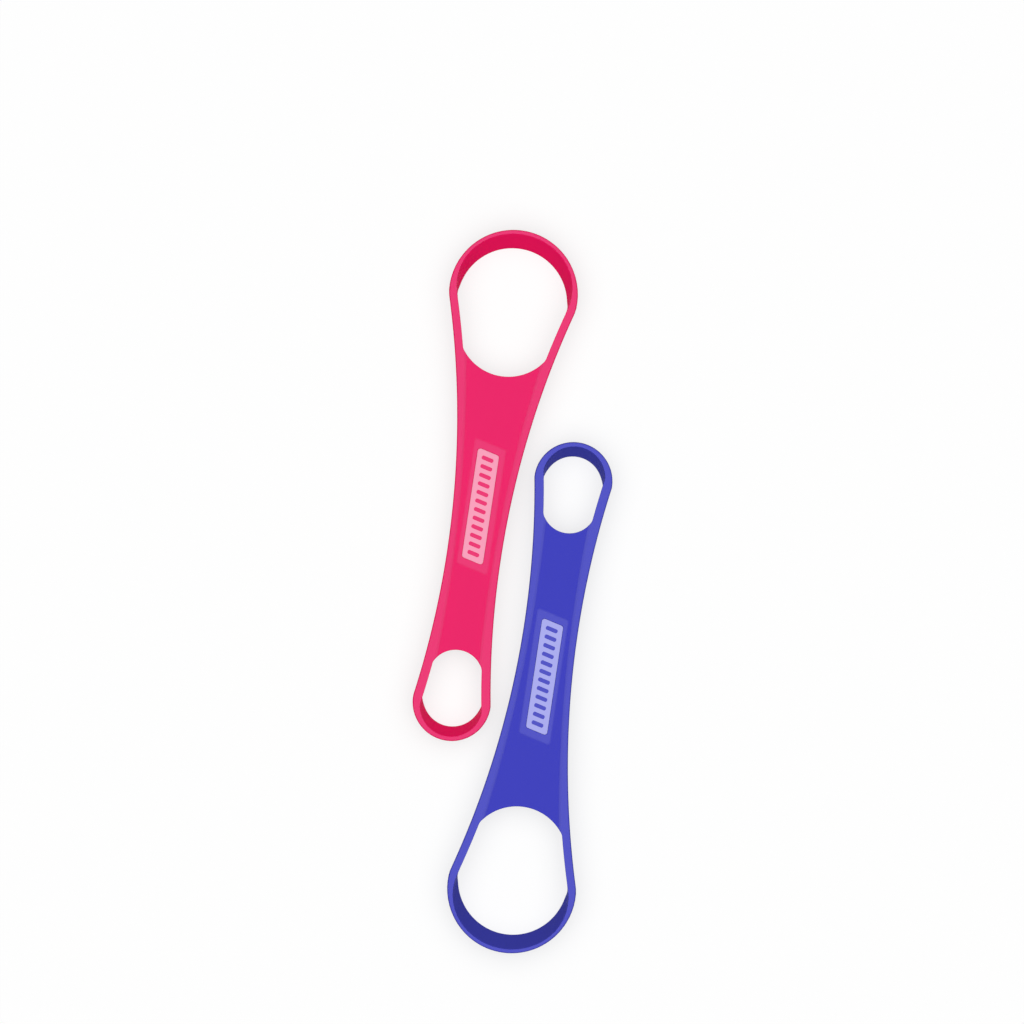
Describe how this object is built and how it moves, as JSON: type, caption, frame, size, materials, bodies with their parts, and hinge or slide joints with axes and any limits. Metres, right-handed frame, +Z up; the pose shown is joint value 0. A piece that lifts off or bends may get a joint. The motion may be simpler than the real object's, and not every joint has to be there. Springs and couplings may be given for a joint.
{
  "type": "tongue scraper pair",
  "caption": "Slim waisted plastic tongue scrapers lying side by side, with a large and a small scraping loop at opposite ends of the handle and a pale panel on it.",
  "frame": {"origin": "middle of the pair, on the surface that the scraping edges rest on", "axes": "+Y along both handles, towards the large loop of the pink scraper; +X across, towards the blue scraper; +Z up, away from the scraping edges"},
  "size_m": [0.0502, 0.1668, 0.0052],
  "materials": {
    "pink_plastic": "satin moulded polypropylene, strong pink",
    "pink_panel": "matt pale pink film",
    "blue_plastic": "satin moulded polypropylene, violet blue",
    "blue_panel": "matt pale violet film"
  },
  "bodies": {
    "pink": {"pink_scraper": "pink_plastic", "pink_label": "pink_panel"},
    "blue": {"blue_scraper": "blue_plastic", "blue_label": "blue_panel"}
  },
  "joints": [
    {"name": "blue_lift", "type": "slide", "parent": "pink", "child": "blue", "axis": [0, 0, 1], "range_m": [0, 0.04]}
  ]
}
